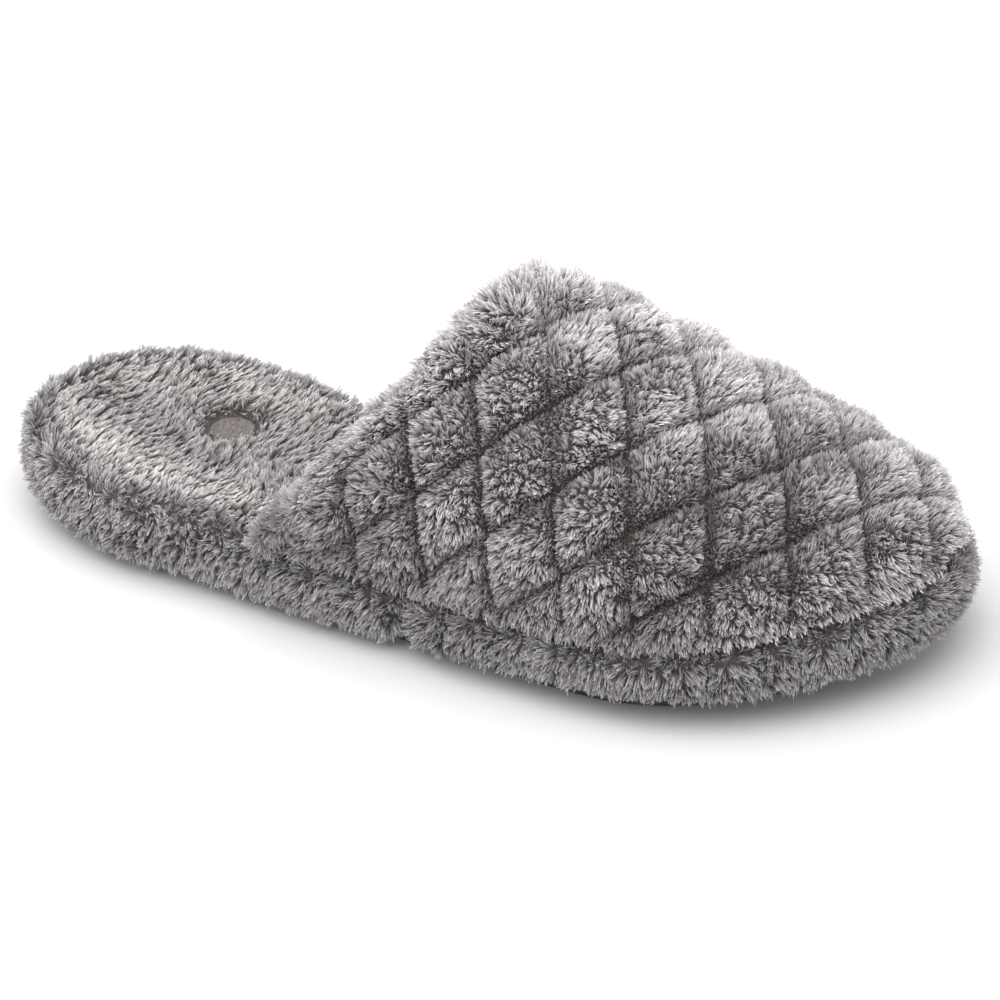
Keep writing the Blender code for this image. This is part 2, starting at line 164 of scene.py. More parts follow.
outline, outlineNormal = soleOutline()
outlineArc = np.r_[0, np.cumsum(np.linalg.norm(np.diff(outline, axis=0), axis=1))]
outlineWhole = outlineArc[-1] + np.linalg.norm(outline[0] - outline[-1])


# height of the sole's lower line: toe spring and heel spring, both parabolas
def lift(x):
    half = 0.5 * shoe["length"]
    toe = np.clip((x - shoe["toeSpringStart"]) / (half - shoe["toeSpringStart"]), 0, None)
    heel = np.clip((shoe["heelSpringStart"] - x) / (shoe["heelSpringStart"] + half), 0, None)
    return shoe["toeSpring"] * toe**2 + shoe["heelSpring"] * heel**2


# 1 along the open heel, 0 where the vamp stands on the platform
def openHeel(x):
    return 1 - ease(shoe["collarCorner"] - shoe["wingRun"], shoe["collarCorner"] - shoe["wingClear"], x)


# the heel's back edge stands a little higher on the medial side
def backRise(x, y):
    return shoe["backRise"] * (1 - ease(*shoe["backRiseAlong"], x)) * ease(0.0, shoe["backRiseSide"], y)


# lateral edge y(x), medial edge y(x) and end points of the plan, inset from the pile's edge
def edgeLines(inset):
    plan = outline - outlineNormal * inset
    plan = np.roll(plan, -plan[:, 0].argmin(), axis=0)
    toe = plan[:, 0].argmax()
    lateral, medial = plan[: toe + 1], plan[toe:][::-1]
    return lateral, medial, plan[0, 0], plan[toe, 0]


# grid over the plan: x from heel to toe, crowded at both ends, y from the medial to the lateral edge
def planGrid(inset, rows, columns):
    lateral, medial, heel, toe = edgeLines(inset)
    endTrim = 0.02  # radians left off at heel and toe, where the grid would shrink to a point
    share = 0.5 - 0.5 * np.cos(np.linspace(endTrim, math.pi - endTrim, rows))
    x = np.repeat((heel + (toe - heel) * share)[:, None], columns, axis=1)
    low = np.interp(x, lateral[:, 0], lateral[:, 1])
    high = np.interp(x, medial[:, 0], medial[:, 1])
    across = np.linspace(0, 1, columns)[None, :]
    return x, high + (low - high) * across, np.minimum(across, 1 - across) * (high - low)


# meshes

# puts points and faces of equal corner count into a mesh object at the origin
def meshPiece(name, points, faces, material, smooth=True):
    mesh = bpy.data.meshes.new(name)
    corners = faces.shape[1]
    mesh.vertices.add(len(points))
    mesh.vertices.foreach_set("co", np.ascontiguousarray(points, np.float32).ravel())
    mesh.loops.add(faces.size)
    mesh.loops.foreach_set("vertex_index", np.ascontiguousarray(faces, np.int32).ravel())
    mesh.polygons.add(len(faces))
    mesh.polygons.foreach_set("loop_start", np.arange(0, faces.size, corners, dtype=np.int32))
    mesh.polygons.foreach_set("use_smooth", np.full(len(faces), smooth))
    mesh.update(calc_edges=True)
    mesh.materials.append(material)
    piece = bpy.data.objects.new(name, mesh)
    bpy.context.scene.collection.objects.link(piece)
    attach(piece, "root")
    return piece


# closed shell between an outer and an inner grid of the same size, joined round their edges
def shellPiece(name, outer, inner, material):
    rows, columns = outer.shape[:2]
    count = rows * columns
    number = np.arange(count).reshape(rows, columns)
    corners = [number[:-1, :-1], number[:-1, 1:], number[1:, 1:], number[1:, :-1]]
    quads = np.stack(corners, -1).reshape(-1, 4)
    edge = np.r_[number[0, :-1], number[:-1, -1], number[-1, :0:-1], number[:0:-1, 0]]
    after = np.roll(edge, -1)
    strip = np.stack([edge, edge + count, after + count, after], -1)
    faces = np.vstack([quads, quads[:, ::-1] + count, strip])
    points = np.vstack([outer.reshape(-1, 3), inner.reshape(-1, 3)])
    return meshPiece(name, points, faces, material)


# pile

# what the piles share; a piece's own dictionary adds to this or changes it
plushPile = {
    "hairs": 5,  # in a tuft
    "tilt": 0.15,  # spread of the tufts' slopes
    "uneven": 0.12, "unevenHair": 0.12,  # spread of the lengths of tufts, and of hairs in a tuft
    "width": 0.00016,  # of a hair, coarser than real microfibre so that it shows
    "blunt": 0.5,  # share of the hairs that are wide at the tip, not at the root
    "rootSpread": 0.00021, "tipSpread": 0.00007,
    "gather": 0.45,  # share of the root's spread that is left at the tip
    "twist": 0.8,  # how far a hair's flat side turns from the surface
    "toneTuft": 0.05, "toneHair": 0.04,
    "tuftLimits": (0.55, 1.5), "hairLimits": (0.6, 1.4),  # shortest and longest, as shares
    "leastHeight": 0.0004,  # tips rest on the floor
    "mapEdge": 0.02,  # margin of the colour map
}
lockRows = 4096  # random rows that the cells of locks share
lockNumbers = 5  # a lock's own: three for its lean, one for its length, one for its tone
cellPrimes = np.array([73856093, 19349663, 83492791])  # give neighbouring cells different rows


# locks: cells of the given spacing hold one random centre each, and a point belongs to the nearest
# gives that centre and the lock's own random numbers, from -1 to 1
def lockOf(points, spacing, rng):
    table = rng.random((lockRows, 3 + lockNumbers))
    cell = np.floor(points / spacing).astype(np.int64)
    nearest = np.full(len(points), np.inf)
    centre = np.zeros_like(points)
    own = np.zeros((len(points), lockNumbers))
    for shift in np.ndindex(3, 3, 3):
        neighbour = cell + np.array(shift) - 1
        row = (neighbour * cellPrimes).sum(axis=1) % lockRows
        spot = (neighbour + table[row, :3]) * spacing
        away = np.linalg.norm(spot - points, axis=1)
        closer = away < nearest
        nearest[closer] = away[closer]
        centre[closer] = spot[closer]
        own[closer] = table[row[closer], 3:]
    return centre, own * 2 - 1


# pile: flat tapered hairs in tufts, tufts in locks, grown from grids of points, normals and nap
# a tuft's axis = normal + lean + its lock's own lean + a pull to the lock's centre + a random tilt
# each hair runs from its spread root to its gathered tip and turns its flat side outwards
def growPile(name, field, pile, fibre):
    rng = np.random.default_rng(pile["seed"])
    points, weight = field["points"], field["weight"]
    diagonals = points[1:, 1:] - points[:-1, :-1], points[1:, :-1] - points[:-1, 1:]
    area = 0.5 * np.linalg.norm(np.cross(*diagonals), axis=-1)
    area = area * 0.25 * (weight[1:, 1:] + weight[:-1, 1:] + weight[1:, :-1] + weight[:-1, :-1])
    total = np.cumsum(area.ravel())
    tufts = int(total[-1] * 1e6 * pile["tuftsPerMm2"])
    hairs = pile["hairs"]
    at = (np.arange(tufts) + rng.random(tufts)) / tufts * total[-1]
    cell = np.minimum(np.searchsorted(total, at), area.size - 1)
    row, column = np.divmod(cell, area.shape[1])
    along = rng.random(tufts)[:, None]
    over = rng.random(tufts)[:, None]

    # a grid's values at the tufts, from the four corners of each tuft's cell
    def atTufts(key):
        values = field[key] if field[key].ndim == 3 else field[key][..., None]
        low = values[row, column] * (1 - over) + values[row, column + 1] * over
        high = values[row + 1, column] * (1 - over) + values[row + 1, column + 1] * over
        return low * (1 - along) + high * along

    centre, normal, lean = atTufts("points"), unit(atTufts("normals")), atTufts("lean")
    length, tone, loose = atTufts("length"), atTufts("tone"), atTufts("loose")
    side = unit(np.cross(normal, rng.normal(0, 1, (tufts, 3))))
    other = np.cross(normal, side)
    tilt = rng.normal(0, pile["tilt"], (tufts, 2)) * loose
    middle, own = lockOf(centre, pile["lock"], rng)
    pull = (middle - centre) / length * pile["lockPull"] + own[:, :3] * pile["lockLean"]
    pull = alongSurface(pull, normal) * loose
    axis = unit(normal + lean + pull + side * tilt[:, :1] + other * tilt[:, 1:])
    uneven = 1 + rng.normal(0, pile["uneven"], (tufts, 1)) + own[:, 3:4] * pile["lockUneven"]
    length = length * np.clip(uneven, *pile["tuftLimits"])
    tone = tone + own[:, 4:] * pile["lockTone"]
    spread = rng.normal(0, pile["rootSpread"], (tufts, hairs, 2))
    gathered = spread * pile["gather"] + rng.normal(0, pile["tipSpread"], (tufts, hairs, 2))
    unevenHair = 1 + rng.normal(0, pile["unevenHair"], (tufts, hairs, 1))
    hairLength = length[:, None] * np.clip(unevenHair, *pile["hairLimits"])
    side, other, centre = side[:, None], other[:, None], centre[:, None]
    root = centre + side * spread[..., :1] + other * spread[..., 1:]
    tip = centre + side * gathered[..., :1] + other * gathered[..., 1:] + axis[:, None] * hairLength
    facing = normal[:, None] + rng.normal(0, pile["twist"], (tufts, hairs, 3))
    flat = unit(np.cross(tip - root, facing)) * 0.5 * pile["width"]
    blunt = rng.random((tufts, hairs, 1)) < pile["blunt"]
    first = np.where(blunt, root, root - flat)
    second = np.where(blunt, tip + flat, root + flat)
    third = np.where(blunt, tip - flat, tip)
    corners = np.stack([first, second, third], axis=2).reshape(-1, 3)
    corners[:, 2] = np.maximum(corners[:, 2], pile["leastHeight"])
    count = tufts * hairs
    faces = np.arange(count * 3).reshape(-1, 3)
    piece = meshPiece(name, corners, faces, fibre, smooth=False)

    # map for the fibre's colour: u is its tone, v runs from root to tip
    shade = tone + rng.normal(0, pile["toneTuft"], (tufts, 1))
    shade = shade + rng.normal(0, pile["toneHair"], (tufts, hairs))
    low, high = pile["mapEdge"], 1 - pile["mapEdge"]
    u = np.repeat(np.clip(shade, low, high).reshape(-1, 1), 3, axis=1)
    v = np.where(blunt.reshape(-1, 1), [[low, high, high]], [[low, low, high]])
    uv = np.stack([u, v], -1).astype(np.float32).ravel()
    for mapName in ("fibre", "OFBake"):  # the second is the same map, kept for texture baking
        layer = piece.data.uv_layers.new(name=mapName, do_init=False)
        layer.uv.foreach_set("vector", uv)
    print("pile", name, tufts, "tufts", count, "triangles")


# materials

# sRGB hex to a linear colour, by the sRGB curve
def hexToLinear(text):
    parts = [int(text[i : i + 2], 16) / 255 for i in (1, 3, 5)]
    return tuple(c / 12.92 if c <= 0.04045 else ((c + 0.055) / 1.055) ** 2.4 for c in parts) + (1.0,)


# adds a node, sets its values and links its inputs: {socket: value or (node, output)}
def addNode(tree, kind, settings=None, inputs=None):
    node = tree.nodes.new(kind)
    for key, value in (settings or {}).items():
        setattr(node, key, value)
    for socket, value in (inputs or {}).items():
        if isinstance(value, tuple) and isinstance(value[0], bpy.types.Node):
            tree.links.new(value[0].outputs[value[1]], node.inputs[socket])
        else:
            node.inputs[socket].default_value = value
    return node


def newMaterial(name, look):
    material = bpy.data.materials.new(name)
    material.use_nodes = True
    shader = material.node_tree.nodes["Principled BSDF"]
    shader.inputs["Roughness"].default_value = look["roughness"]
    shader.inputs["Specular IOR Level"].default_value = look["specular"]
    return material, material.node_tree, shader


def setRamp(node, stops):
    ramp = node.color_ramp
    while len(ramp.elements) < len(stops):
        ramp.elements.new(0.5)
    for element, (place, colour) in zip(ramp.elements, stops):
        element.position = place
        element.color = hexToLinear(colour)


# colours a surface in a dark and a pale shade, in grains of about grainMm on its own coordinates
# gives the nodes for coordinates and grain
def mottle(tree, shader, grainMm, detail, dark, pale):
    place = addNode(tree, "ShaderNodeTexCoord")
    grain = addNode(
        tree, "ShaderNodeTexNoise",
        inputs={"Vector": (place, "Object"), "Scale": 1000 / grainMm, "Detail": detail},
    )
    ramp = addNode(tree, "ShaderNodeValToRGB", inputs={"Fac": (grain, "Fac")})
    setRamp(ramp, [dark, pale])
    tree.links.new(ramp.outputs["Color"], shader.inputs["Base Color"])
    return place, grain


plushLook = {
    "roughness": 0.9, "specular": 0.1, "sheen": 0.06, "sheenRoughness": 0.5, "tones": (0.45, 1.45),
}
# the knit's loops are drawn coarse enough to show between the hairs
knitLook = {"roughness": 0.95, "specular": 0.1, "grainMm": 1.11, "detail": 2.0, "shades": (0.3, 0.7)}


# polyester microfibre plush: soft grey hairs with a faint sheen
# the dark colour at the root is painted shade between the hairs, the pale colour at the tip painted light
def plushFibre(name, rootColour, bodyColour, tipColour):
    material, tree, shader = newMaterial(name, plushLook)
    fibre = addNode(tree, "ShaderNodeUVMap", {"uv_map": "fibre"})
    parts = addNode(tree, "ShaderNodeSeparateXYZ", inputs={"Vector": (fibre, "UV")})
    ramp = addNode(tree, "ShaderNodeValToRGB", inputs={"Fac": (parts, "Y")})
    # ramp from painted shade at the root to painted light at the tip
    setRamp(ramp, [(0.0, rootColour), (0.5, bodyColour), (1.0, tipColour)])
    darkest, palest = plushLook["tones"]
    tone = addNode(
        tree, "ShaderNodeMapRange",
        inputs={"Value": (parts, "X"), "To Min": darkest, "To Max": palest},
    )
    colour = addNode(
        tree, "ShaderNodeMix", {"data_type": "RGBA", "blend_type": "MULTIPLY"},
        {"Factor": 1.0, "A": (ramp, "Color"), "B": (tone, "Result")},
    )
    tree.links.new(colour.outputs["Result"], shader.inputs["Base Color"])
    shader.inputs["Sheen Weight"].default_value = plushLook["sheen"]
    shader.inputs["Sheen Roughness"].default_value = plushLook["sheenRoughness"]
    return material


# knitted polyester backing under the pile: dull, its dark colour painted shade between the hairs
def backingKnit(name, darkColour, paleColour):
    material, tree, shader = newMaterial(name, knitLook)
    shades = zip(knitLook["shades"], (darkColour, paleColour))
    mottle(tree, shader, knitLook["grainMm"], knitLook["detail"], *shades)
    return material


# outsole

outsole = {
    "thickness": 0.004, "bevel": 0.001, "bevelRun": 0.0015,
    "archRelief": 0.0018, "archBack": -0.045, "archFront": 0.005,
    "treadPitch": 0.0052, "treadDepth": 0.0009, "treadWave": 0.0022, "treadWaveLength": 0.016,
    "treadSide": (0.28, 0.40),  # a groove's side wall, as shares of the pitch
    "treadMargin": (0.003, 0.006),  # from the plain edge to full depth
    "rows": 200, "columns": 26,
}
rubberLook = {
    "roughness": 0.62, "specular": 0.4,
    "mottleMm": 8.33, "detail": 4.0, "dark": (0.35, "#2a2929"), "pale": (0.65, "#393737"),
    "grainMm": 0.667, "strength": 0.25, "depth": 0.0003,
}


# thermoplastic rubber, moulded: near black, dull, with a faint mottle from the mould
def mouldedRubber():
    look = rubberLook
    material, tree, shader = newMaterial("moulded rubber", look)
    place = mottle(tree, shader, look["mottleMm"], look["detail"], look["dark"], look["pale"])[0]
    grain = addNode(
        tree, "ShaderNodeTexNoise",
        inputs={"Vector": (place, "Object"), "Scale": 1000 / look["grainMm"]},
    )
    bump = addNode(
        tree, "ShaderNodeBump",
        inputs={"Height": (grain, "Fac"), "Strength": look["strength"], "Distance": look["depth"]},
    )
    tree.links.new(bump.outputs["Normal"], shader.inputs["Normal"])
    return material


# rubber plate: top flat, bottom with the arch's hollow and waved grooves cut up into it
def buildOutsole():
    sole = outsole
    x, y, fromEdge = planGrid(platformInset, sole["rows"], sole["columns"])
    top = np.stack([x, y, lift(x) + sole["thickness"]], -1)
    arch = np.clip((x - sole["archBack"]) / (sole["archFront"] - sole["archBack"]), 0, 1)
    wave = x + sole["treadWave"] * np.sin(2 * math.pi * y / sole["treadWaveLength"])
    wave = wave / sole["treadPitch"]
    groove = ease(*sole["treadSide"], np.abs(wave - np.round(wave)))
    z = lift(x) + sole["archRelief"] * np.sin(math.pi * arch) ** 2
    z = z + sole["treadDepth"] * groove * ease(*sole["treadMargin"], fromEdge)
    z = z + sole["bevel"] * (1 - ease(0, sole["bevelRun"], fromEdge))
    bottom = np.stack([x, y, z], -1)
    piece = shellPiece("outsole_rubber", top, bottom, mouldedRubber())
    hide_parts("outsole")
    print("outsole done")


# footbed

footbed = {
    "floor": outsole["thickness"] + shoe["gap"],
    "crown": 0.0245, "dish": 0.0015, "dishRun": (0.004, 0.030), "shoulder": 0.0045,
    "backEdge": 0.015,  # how far in the raised back edge reaches
    "pileDepth": 0.0022,
    "patchCentre": (-0.0748, 0.0053),
    "pitCentre": (-0.0757, 0.0062), "pitRun": (0.0077, 0.0095), "pitFloor": 0.0198,
    "bareCentre": (-0.0764, 0.0064),  # hairs on the near side lean over the patch
    "bareRun": (0.0078, 0.0090),
    "nap": (0.80, 0.60, 0.0),
    # fibre: the dark root is painted shade between the hairs, the pale tip painted light
    # knit: its dark colours are painted shade between the hairs
    "knit": ("#2f2b2a", "#443f3f"), "fibre": ("#322e2d", "#7e7978", "#aeaaaa"),
    "clothRows": 90, "clothColumns": 32, "rows": 300, "columns": 110,
}
insolePile = {
    **plushPile,
    "seed": 11, "swirlSeed": 5, "tuftsPerMm2": 2.7, "hairs": 6, "unevenHair": 0.10, "rootSpread": 0.00024,
    "lock": 0.0022, "lockPull": 0.90, "lockLean": 0.50, "lockUneven": 0.30, "lockTone": 0.06,
    "turnWave": 0.022, "turnLean": 0.40, "mattedWave": 0.0065, "mattedLean": 0.20, "napLean": 1.15,
    "edgeStand": 0.2, "edgeStandRun": 0.006,  # the pile stands up more by the edge and the patch
    "patchStand": 0.6, "patchStandRun": (0.009, 0.014),
    "length": 0.0029, "patchShort": 0.35, "patchShortRun": (0.0095, 0.0125),
    "tone": 0.53, "toneSwirl": 0.03,
    "toneEdge": 0.30, "toneEdgeRun": (0.006, 0.022),  # paler towards the edge
    "hiddenShare": 0.25, "hiddenRun": (0.012, 0.030),  # of the pile that is left under the vamp
}


# top of the insole's cloth: level pile line less the pile's depth, dished, dipping at the patch
def footbedTop(rows, columns):
    bed = footbed
    x, y, fromEdge = planGrid(platformInset, rows, columns)
    edge = shoe["seamLevel"] - shoe["gap"] + (shoe["platform"] - shoe["seamLevel"]) * openHeel(x)
    crown = bed["crown"] - bed["dish"] * ease(*bed["dishRun"], fromEdge)
    z = lift(x) + edge + (crown - edge) * ease(0, bed["shoulder"], fromEdge) - bed["pileDepth"]
    z = z + backRise(x, y) * (1 - ease(0, bed["backEdge"], fromEdge))
    fromPit = np.hypot(x - bed["pitCentre"][0], y - bed["pitCentre"][1])
    z = z + (bed["pitFloor"] - z) * (1 - ease(*bed["pitRun"], fromPit))
    fromBare = np.hypot(x - bed["bareCentre"][0], y - bed["bareCentre"][1])
    return np.stack([x, y, z], -1), fromEdge, fromBare


# nap towards the toe and the medial side, swirled, and matted in small patches
def insoleField():
    bed, pile = footbed, insolePile
    points, fromEdge, fromBare = footbedTop(bed["rows"], bed["columns"])
    x = points[..., 0]
    rng = np.random.default_rng(pile["swirlSeed"])
    turn = swirl(points, pile["turnWave"], rng) * np.array([1, 1, 0])
    matted = swirl(points, pile["mattedWave"], rng) * np.array([1, 1, 0.5])
    lean = np.array(bed["nap"]) * pile["napLean"] + turn * pile["turnLean"] + matted * pile["mattedLean"]
    byEdge = 1 - ease(0.0, pile["edgeStandRun"], fromEdge)
    byPatch = 1 - ease(*pile["patchStandRun"], fromBare)
    flatten = 1 - pile["edgeStand"] * byEdge - pile["patchStand"] * byPatch
    shortened = 1 - ease(*pile["patchShortRun"], fromBare)
    tone = pile["tone"] + pile["toneSwirl"] * turn[..., 0] + pile["toneSwirl"] * matted[..., 2]
    seen = 1 - ease(*pile["hiddenRun"], x)
    share = pile["hiddenShare"] + (1 - pile["hiddenShare"]) * seen
    return {
        "points": points,
        "normals": gridNormals(points),
        "lean": lean * flatten[..., None],
        "length": pile["length"] * (1 - pile["patchShort"] * shortened),
        "tone": tone + pile["toneEdge"] * (1 - ease(*pile["toneEdgeRun"], fromEdge)),
        "loose": np.ones(x.shape),
        "weight": ease(*bed["bareRun"], fromBare) * share,
    }


def buildFootbed():
    bed = footbed
    top = footbedTop(bed["clothRows"], bed["clothColumns"])[0]
    under = top.copy()
    under[..., 2] = lift(top[..., 0]) + bed["floor"]
    knit = backingKnit("insole backing knit", *bed["knit"])
    base = shellPiece("footbed_cloth", top, under, knit)
    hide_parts("footbed")
    fibre = plushFibre("insole plush fibre", *bed["fibre"])
    growPile("insole_pile", insoleField(), insolePile, fibre)
    print("footbed done")


# heel patch

patch = {
    "radius": 0.0062, "thickness": 0.0014, "floor": 0.0200, "sides": 96,
    # shares of radius and thickness, from the middle of the foot round the rim to the middle of the top
    "profileOut": np.array([0.02, 0.7, 0.97, 1.0, 0.985, 0.95, 0.90, 0.85, 0.80, 0.55, 0.28, 0.02]),
    "profileUp": np.array([0, 0, 0, 0.35, 0.75, 0.98, 1.0, 0.80, 0.62, 0.70, 0.74, 0.75]),
}
feltLook = {
    "roughness": 0.9, "specular": 0.2,
    "grainMm": 0.909, "detail": 3.0, "dark": (0.35, "#3f3b3a"), "pale": (0.65, "#5b5654"),
    "strength": 0.5, "depth": 0.0002,
}


# pressed polyester felt: smooth and slightly mottled, its fine grain drawn coarse enough to show
def pressedFabric():
    look = feltLook
    material, tree, shader = newMaterial("pressed fabric", look)
    grain = mottle(tree, shader, look["grainMm"], look["detail"], look["dark"], look["pale"])[1]
    bump = addNode(
        tree, "ShaderNodeBump",
        inputs={"Height": (grain, "Fac"), "Strength": look["strength"], "Distance": look["depth"]},
    )
    tree.links.new(bump.outputs["Normal"], shader.inputs["Normal"])
    return material


# disc, a profile turned about its own axis: flat foot, round corded rim, shallow dome
def buildPatch():
    sides = patch["sides"]
    radius = patch["profileOut"] * patch["radius"]
    height = patch["profileUp"] * patch["thickness"]
    turn = np.linspace(0, 2 * math.pi, sides, endpoint=False)
    centre = np.array([*footbed["patchCentre"], patch["floor"]])
    ring = np.stack([np.cos(turn), np.sin(turn), np.zeros_like(turn)], -1)
    points = centre + radius[:, None, None] * ring + height[:, None, None] * np.array([0, 0, 1])
    count = points[..., 0].size
    number = np.arange(count).reshape(points.shape[:2])
    after = np.roll(number, -1, axis=1)
    quads = np.stack([number[:-1], after[:-1], after[1:], number[1:]], -1).reshape(-1, 4)
    poles = centre + np.array([[0, 0, 0], [0, 0, height[-1]]])
    foot = np.stack([after[0], number[0], np.full(sides, count)], -1)
    dome = np.stack([number[-1], after[-1], np.full(sides, count + 1)], -1)
    triangles = np.vstack([quads[:, :3], quads[:, [0, 2, 3]], foot, dome])
    everything = np.vstack([points.reshape(-1, 3), poles])
    piece = meshPiece("heel_patch_disc", everything, triangles, pressedFabric())
    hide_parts("heel_patch")
    print("patch done")


# wraps

wrap = {
    "hem": 0.0046, "topDrop": 0.0020,
    "hemRise": 0.0032, "ballAt": 0.052, "ballRun": 0.040,  # the hem sits higher along the ball
    "profileInset": np.array([8.2, 5.2, 3.2, 2.6, 3.3, 5.2, 8.2]) / 1000,  # from the top to the hem
    "profileLevel": np.array([1.0, 0.96, 0.78, 0.48, 0.18, 0.03, 0.0]),
    "deepestInset": 0.0083, "innerInset": 0.0084,
    "joinGap": 0.0002,  # from each band's end to the join
    "joinPinch": 0.0034, "joinRun": 0.0036,
    # fibre: the dark root is painted shade between the hairs, the pale tip painted light
    # knit: its dark colours are painted shade between the hairs
    "knit": ("#3d3a3a", "#524e4e"), "fibre": ("#353232", "#7f7c7d", "#a19ea0"),
    "clothRows": 140, "clothColumns": 12, "rows": 420, "columns": 26,
}
heelWrapPile = {
    **plushPile,
    "seed": 21, "swirlSeed": 121, "tuftsPerMm2": 3.5, "width": 0.00017,
    "lock": 0.0019, "lockPull": 0.75, "lockLean": 0.40, "lockUneven": 0.22, "lockTone": 0.05,
    "turnWaves": (0.012, 0.005), "turnShare": 0.7, "turnLean": 0.45,
    "hangLean": 0.40, "hangRun": (0.10, 0.45),  # runs are shares of the way from the top to the hem
    "shoulderLean": 0.8, "shoulderRun": (0.15, 0.42),  # follows the insole's nap
    "length": 0.0028, "hemRun": (0.7, 1.0), "hemTrim": 0.52, "hemRagged": 0.3, "hemWave": 0.009,
    "toeTrim": 0.35, "toeTrimAt": 0.101, "toeTrimRun": 0.012,  # over the rubber that shows by the toe
    # the darker tone at the joins is painted shade in the crease
    "joinShadow": 0.0022, "joinShort": 0.35, "joinPaintedShade": 0.25, "joinFirm": 0.8,
    "tone": 0.58, "toneTurn": 0.04, "toneShoulder": 0.08,
}
# the toe wrap's lower tone is painted shade on its front
toeWrapPile = {**heelWrapPile, "seed": 22, "swirlSeed": 122, "tone": 0.47, "hemTrim": 0.35}


# values given round the closed outline, at arc lengths along it
def roundOutline(values, at):
    arc = np.r_[outlineArc, outlineWhole]
    closed = np.vstack([values, values[:1]])
    return np.stack([np.interp(at, arc, closed[:, k]) for k in (0, 1)], -1)


# band along the outline between two arc lengths; the profile runs from its top down to the hem
# gives the outer and inner grid, where the top is raised, the profile's share, the way to the join
def wrapGrid(first, last, rows, columns):
    band = wrap
    at = np.linspace(first, last, rows)
    toJoin = np.minimum(at - first, last - at)
    plan = roundOutline(outline, at % outlineWhole)
    facing = unit(roundOutline(outlineNormal, at % outlineWhole))
    share = np.linspace(0, 1, columns)
    knots = np.linspace(0, 1, len(band["profileInset"]))
    pinch = band["joinPinch"] * bell(toJoin, band["joinRun"])
    inset = smoothCurve(knots, band["profileInset"], share)[None, :] + pinch[:, None]
    inset = np.minimum(inset, band["deepestInset"])
    level = smoothCurve(knots, band["profileLevel"], share)[None, :]
    spot = plan[:, None] - facing[:, None] * inset[..., None]
    x, y = spot[..., 0], spot[..., 1]
    raised = openHeel(x)
    top = shoe["seamLevel"] + (shoe["platform"] - shoe["seamLevel"]) * raised - band["topDrop"]
    top = top + backRise(x, y)
    hem = band["hem"] + band["hemRise"] * bell(x - band["ballAt"], band["ballRun"])
    z = lift(x) + hem + (top - hem) * level
    inner = plan[:, None] - facing[:, None] * band["innerInset"] + 0 * spot
    return np.dstack([spot, z]), np.dstack([inner, z]), raised, share, toJoin


# arc lengths on the outline where the wraps meet, on the lateral and the medial side
def joinArcs():
    toe = outline[:, 0].argmax()
    away = np.abs(outline[:, 0] - shoe["wrapJoin"])
    return outlineArc[away[:toe].argmin()], outlineArc[toe + away[toe:].argmin()]


# pile that hangs on the side and follows the insole's nap on the shoulder
# it is cut short towards the hem, and short, firm and darker at the joins, the darkening painted shade in
# the crease
def wrapField(first, last, pile):
    points, _, raised, share, toJoin = wrapGrid(first, last, wrap["rows"], wrap["columns"])
    even = np.ones(points.shape[:2])
    normals = gridNormals(points)
    rng = np.random.default_rng(pile["swirlSeed"])
    turn = sum(pile["turnShare"] * swirl(points, wave, rng) for wave in pile["turnWaves"])
    turn = alongSurface(turn, normals)
    hang = ease(*pile["hangRun"], share)[:, None]
    shoulder = (1 - ease(*pile["shoulderRun"], share)) * raised  # where the wrap meets the insole
    lean = turn * pile["turnLean"] + towardsFloor * pile["hangLean"] * hang
    lateral = points[..., 1] < 0
    toeTrim = pile["toeTrim"] * (bell(points[..., 0] - pile["toeTrimAt"], pile["toeTrimRun"]) * lateral)
    ragged = pile["hemRagged"] * swirl(points, pile["hemWave"], rng)[..., 0]
    ragged = ease(*pile["hemRun"], share) * (ragged - pile["hemTrim"] - toeTrim)
    join = bell(toJoin, pile["joinShadow"])[:, None]
    tone = pile["tone"] + pile["toneTurn"] * turn[..., 2] + pile["toneShoulder"] * shoulder
    return {
        "points": points,
        "normals": normals,
        "lean": lean + np.array(footbed["nap"]) * pile["shoulderLean"] * shoulder[..., None],
        "length": pile["length"] * (1 + ragged) * (1 - pile["joinShort"] * join),
        # painted shade in the crease at the joins
        "tone": tone - pile["joinPaintedShade"] * join,
        "loose": even * (1 - pile["joinFirm"] * join),
        "weight": even,
    }


def buildWrap(node, first, last, pile, knit, fibre):
    outer, inner = wrapGrid(first, last, wrap["clothRows"], wrap["clothColumns"])[:2]
    base = shellPiece(node + "_cloth", outer, inner, knit)
    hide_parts(node)
    growPile(node + "_pile", wrapField(first, last, pile), pile, fibre)


def buildWraps():
    lateral, medial = joinArcs()
    gap = wrap["joinGap"]
    knit = backingKnit("wrap backing knit", *wrap["knit"])
    fibre = plushFibre("wrap plush fibre", *wrap["fibre"])
    buildWrap("toe_wrap", lateral + gap, medial - gap, toeWrapPile, knit, fibre)
    buildWrap("heel_wrap", medial + gap, outlineWhole + lateral - gap, heelWrapPile, knit, fibre)
    print("wraps done")


# upper

vamp = {
    "pileInset": 0.0032, "pileSwell": 0.0030, "toeRound": 0.025,
    "liningInset": 0.0088, "liningSwell": -0.0035, "liningDrop": 0.0085, "liningToeRound": 0.021,
    "fullness": 1.9,  # 2 is an elliptical section, more is squarer
    "ridgeLean": 0.007, "ridgeLeanRun": 0.060,
    "crestDepth": 0.0004,  # from the pile line down to the cloth on the crest of a diamond
    "toeDepth": 0.0012, "toeDepthRun": (0.05, 0.35),  # and more over the toe
    "plainCollar": (-0.001, 0.007), "plainSeam": (0.0, 0.006),  # where the quilting fades
    "stand": (0.55, 0.45),  # the pile stands between the smooth face and the puffed cloth
    "toeStart": 0.004, "toeCrowding": 1.4, "collarEnd": 0.966,  # rows of the grid
    # fibre: the dark root is painted shade between the hairs, the pale tip painted light
    # knit: its dark colours are painted shade between the hairs
    "knit": ("#332f2f", "#48433f"), "fibre": ("#3c3838", "#a5a1a2", "#bcb8b9"),
    "clothRows": 80, "clothColumns": 90, "rows": 300, "columns": 420,
}
